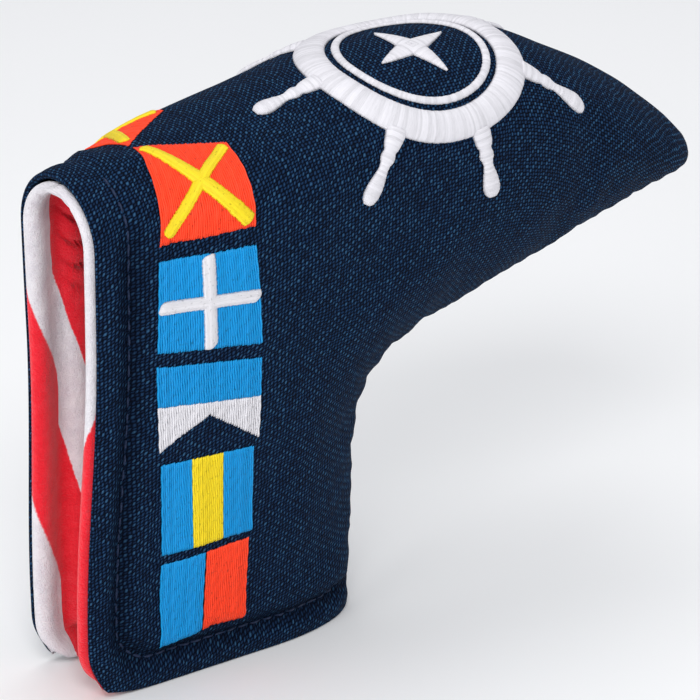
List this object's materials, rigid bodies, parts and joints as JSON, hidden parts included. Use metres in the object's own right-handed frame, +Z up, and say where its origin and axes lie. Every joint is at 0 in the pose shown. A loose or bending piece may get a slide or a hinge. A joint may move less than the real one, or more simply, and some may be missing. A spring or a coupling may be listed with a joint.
{
  "type": "putter head cover",
  "caption": "Padded blade putter head cover, an upside-down L sleeve with two peel-open flaps, plush lining and embroidered flags and ship's wheel.",
  "frame": {"origin": "on the plane that the hem stands on, under the middle of the overall length, on the cover's middle plane", "axes": "+X from the heel opening to the toe, +Y to the back panel, +Z up the shaft arm"},
  "size_m": [0.1522, 0.0481, 0.1175],
  "materials": {
    "navy_fabric": "coarse matt woven polyester",
    "foam": "soft open-cell padding",
    "plush": "short-pile plush, red and white diagonal stripes",
    "navy_thread": "topstitching thread",
    "magnet_steel": "plated button magnet",
    "white_thread": "satin-stitched thread",
    "orange_thread": "fill-stitched thread",
    "blue_thread": "fill-stitched thread",
    "yellow_thread": "fill-stitched thread"
  },
  "bodies": {
    "body": {"body_shell": "navy_fabric", "body_padding": "foam", "body_lining": "plush", "top_topstitch": "navy_thread", "wheel_rim": "white_thread", "wheel_inner_ring": "white_thread", "wheel_star": "white_thread", "wheel_handle_1": "white_thread", "wheel_handle_2": "white_thread", "wheel_handle_3": "white_thread", "wheel_handle_4": "white_thread", "wheel_handle_5": "white_thread", "wheel_handle_6": "white_thread", "wheel_handle_7": "white_thread", "front_flag_1": "orange_thread", "front_flag_2": "blue_thread", "front_flag_3": "white_thread", "back_flag_1": "orange_thread", "back_flag_2": "blue_thread", "back_flag_3": "white_thread"},
    "front_flap": {"front_flap_shell": "navy_fabric", "front_flap_padding": "foam", "front_flap_lining": "plush", "front_flap_topstitch": "navy_thread", "front_upper_magnet": "magnet_steel", "front_lower_magnet": "magnet_steel", "front_flag_2_on_flap": "blue_thread", "front_flag_3_on_flap": "white_thread", "front_flag_4": "yellow_thread", "front_flag_5": "orange_thread"},
    "back_flap": {"back_flap_shell": "navy_fabric", "back_flap_padding": "foam", "back_flap_lining": "plush", "back_flap_topstitch": "navy_thread", "back_upper_magnet": "magnet_steel", "back_lower_magnet": "magnet_steel", "back_flag_2_on_flap": "blue_thread", "back_flag_3_on_flap": "white_thread", "back_flag_4": "yellow_thread", "back_flag_5": "orange_thread"}
  },
  "joints": [
    {"name": "front_flap_open", "type": "hinge", "parent": "body", "child": "front_flap", "pos_m": [-0.0464, -0.0175, 0.0516], "axis": [-0.4809, 0, 0.8768], "range_deg": [0, 30], "stiffness_Nm_per_rad": 0.012, "springref_deg": -8.59},
    {"name": "back_flap_open", "type": "hinge", "parent": "body", "child": "back_flap", "pos_m": [-0.0464, 0.0175, 0.0516], "axis": [0.4809, 0, -0.8768], "range_deg": [0, 30], "stiffness_Nm_per_rad": 0.012, "springref_deg": -8.59}
  ]
}
